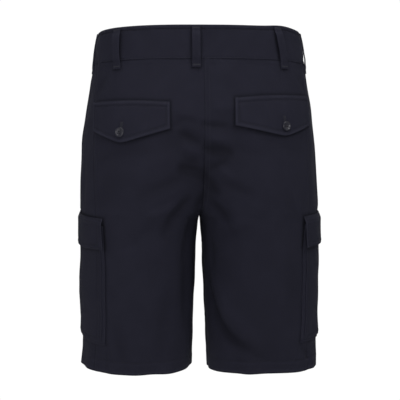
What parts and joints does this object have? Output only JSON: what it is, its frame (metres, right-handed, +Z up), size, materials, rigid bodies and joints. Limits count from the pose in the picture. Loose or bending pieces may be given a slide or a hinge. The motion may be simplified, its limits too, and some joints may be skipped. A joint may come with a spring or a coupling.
{
  "type": "cargo shorts",
  "caption": "Navy cotton twill cargo shorts in their worn, hollow shape, with buttoned back pocket flaps, bellows pockets on the thighs, belt loops and a zip fly.",
  "frame": {"origin": "middle of the waist opening, halfway up the waistband at the side", "axes": "+Z up, +X to the wearer's left, +Y to the wearer's back"},
  "size_m": [0.3981, 0.2665, 0.541],
  "materials": {
    "twill": "navy cotton twill, matt, with a faint nap",
    "button": "dark blue resin, satin",
    "zip_tape": "navy woven tape",
    "zip_metal": "dark satin"
  },
  "bodies": {
    "root": {"waistband_left": "twill", "waistband_right": "twill", "back_left": "twill", "back_right": "twill", "front_left": "twill", "front_right": "twill", "back_flap_left": "twill", "back_flap_right": "twill", "back_button_left": "button", "back_button_right": "button", "cargo_gusset_left": "twill", "cargo_gusset_right": "twill", "cargo_pocket_left": "twill", "cargo_pocket_right": "twill", "cargo_flap_left": "twill", "cargo_flap_right": "twill", "loop_back": "twill", "loop_back_left": "twill", "loop_back_right": "twill", "loop_side_left": "twill", "loop_side_right": "twill", "loop_front_left": "twill", "loop_front_right": "twill", "waist_button": "button", "fly_zip": "zip_tape", "zip_slider": "zip_metal"}
  },
  "joints": []
}
